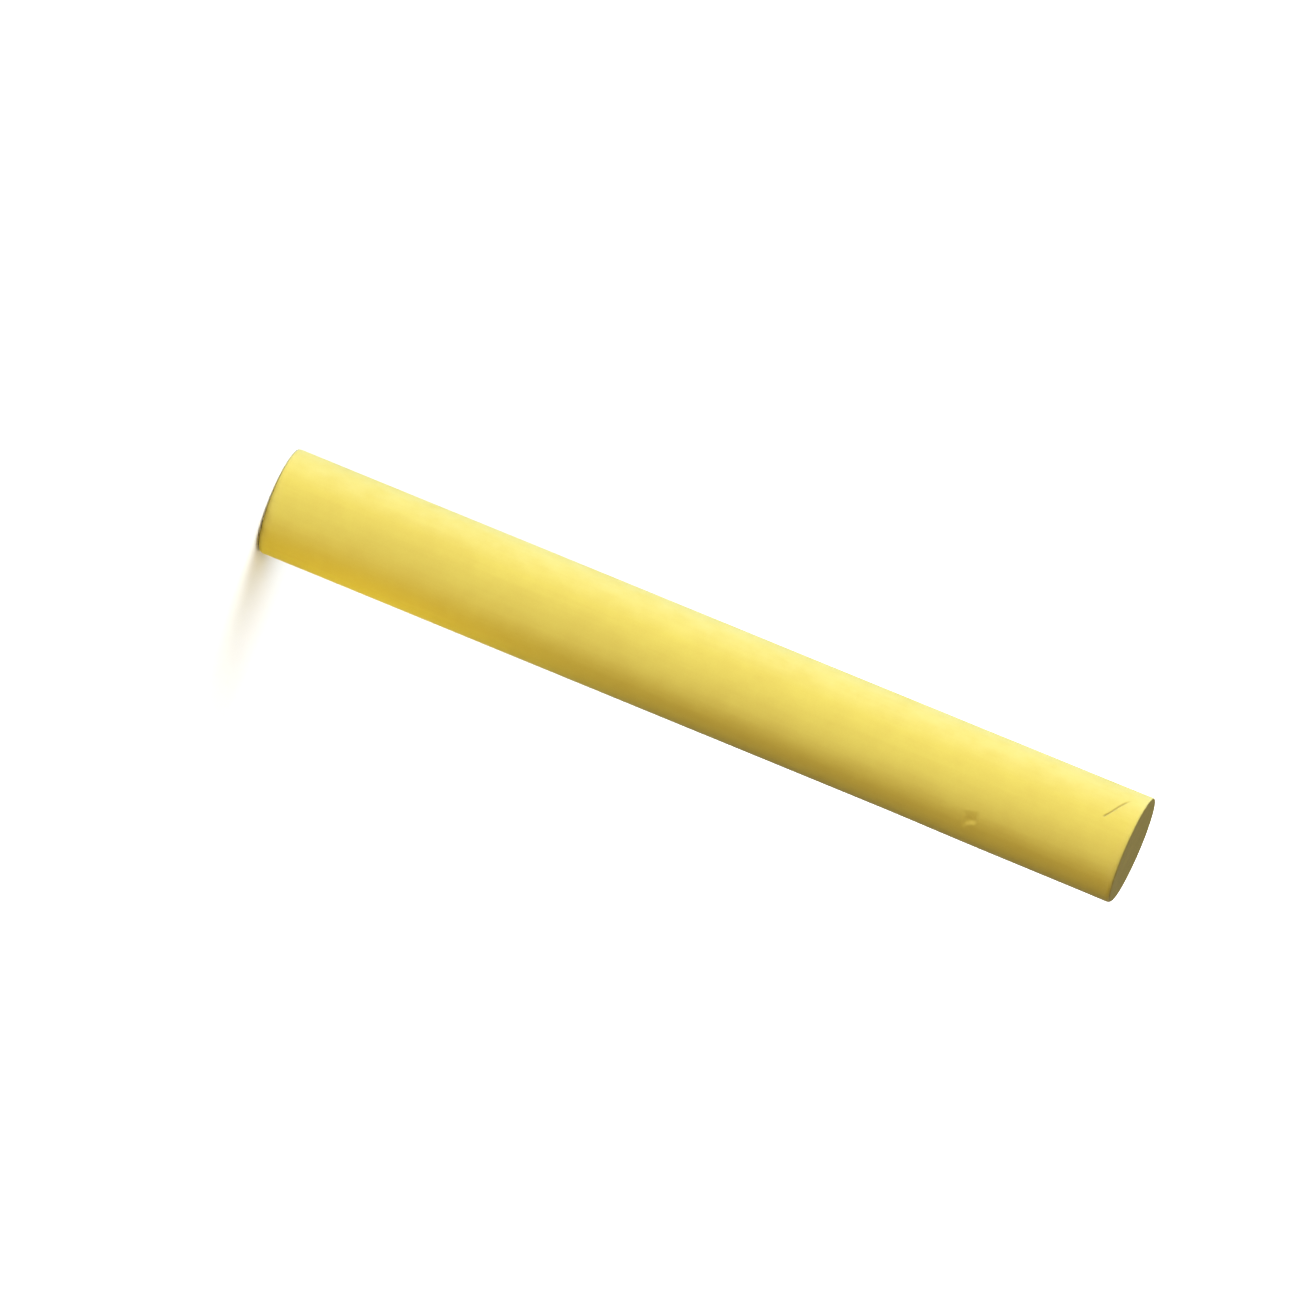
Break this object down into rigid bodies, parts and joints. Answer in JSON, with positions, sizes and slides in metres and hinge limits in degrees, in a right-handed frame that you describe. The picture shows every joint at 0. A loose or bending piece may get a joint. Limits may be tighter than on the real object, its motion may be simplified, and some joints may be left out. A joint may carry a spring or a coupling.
{
  "type": "chalk stick",
  "caption": "Yellow stick of blackboard chalk, a slightly tapered round rod with flat ends, rubbed rims and a few small marks.",
  "frame": {"origin": "middle of the narrow end's flat face, which the stick stands on", "axes": "+Z along the stick's axis, from the narrow end to the wide end; +X points to the side where the struck-off wide face is lowest, and -Y to the side that has the pit and the scratch"},
  "size_m": [0.0098, 0.0098, 0.0811],
  "materials": {
    "chalk": "matt, powdery cast chalk in one pale yellow all through"
  },
  "bodies": {
    "root": {"chalk_stick": "chalk"}
  },
  "joints": []
}
